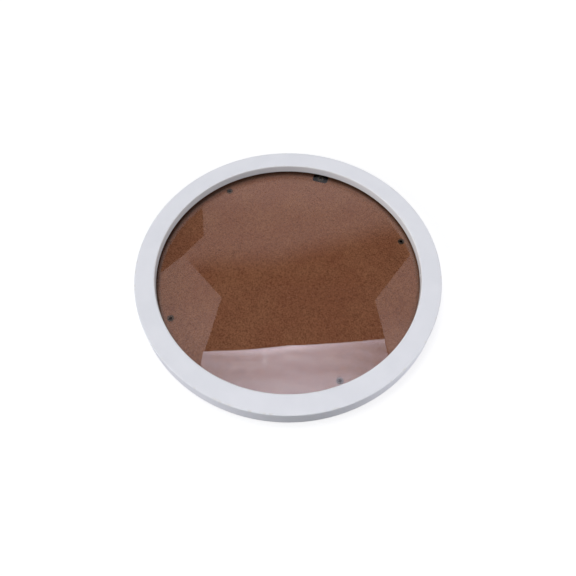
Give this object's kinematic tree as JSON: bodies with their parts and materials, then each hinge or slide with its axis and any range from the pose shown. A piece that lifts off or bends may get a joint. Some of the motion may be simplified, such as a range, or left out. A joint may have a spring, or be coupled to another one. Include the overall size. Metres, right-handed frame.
{
  "type": "round photo frame",
  "caption": "Round wall frame: a square-section white ring holds a glass pane and a hardboard back, which turn buttons lock in its groove, with a wire hanging ring behind.",
  "frame": {"origin": "centre of the back rim's plane, on the surface the frame lies on", "axes": "+Z out of the picture side, +Y up when the frame hangs, towards its hanger"},
  "size_m": [0.23, 0.23, 0.015],
  "materials": {
    "white_paint": "satin white paint on turned fibreboard",
    "clear_glass": "clear float glass, seamed edge",
    "hardboard": "bare brown hardboard, smooth side forward",
    "zinc_steel": "bright zinc plate",
    "rivet_steel": "dull dark plate",
    "dark_steel": "dark grey plate, pressed edges"
  },
  "bodies": {
    "frame": {"frame_ring": "white_paint", "glass_pane": "clear_glass", "backing_board": "hardboard", "button_rivets": "rivet_steel", "hanger_plate": "dark_steel", "hanger_strap": "dark_steel", "hanger_rivet": "rivet_steel"},
    "upper_right_button": {"turn_button_upper_right": "zinc_steel"},
    "upper_left_button": {"turn_button_upper_left": "zinc_steel"},
    "lower_left_button": {"turn_button_lower_left": "zinc_steel"},
    "lower_right_button": {"turn_button_lower_right": "zinc_steel"},
    "hanging_ring": {"hanger_ring": "zinc_steel"}
  },
  "joints": [
    {"name": "upper_right_button_turn", "type": "hinge", "parent": "frame", "child": "upper_right_button", "pos_m": [0.07789, 0.05333, 0.0027], "axis": [0, 0, 1], "continuous": true},
    {"name": "upper_left_button_turn", "type": "hinge", "parent": "frame", "child": "upper_left_button", "pos_m": [-0.0696, 0.06378, 0.0027], "axis": [0, 0, 1], "continuous": true},
    {"name": "lower_left_button_turn", "type": "hinge", "parent": "frame", "child": "lower_left_button", "pos_m": [-0.07162, -0.0615, 0.0027], "axis": [0, 0, 1], "continuous": true},
    {"name": "lower_right_button_turn", "type": "hinge", "parent": "frame", "child": "lower_right_button", "pos_m": [0.05889, -0.07378, 0.0027], "axis": [0, 0, 1], "continuous": true},
    {"name": "hanging_ring_swing", "type": "hinge", "parent": "frame", "child": "hanging_ring", "pos_m": [0, 0.1027, 0.0016], "axis": [1, 0, 0], "range_deg": [-4, 110]}
  ]
}
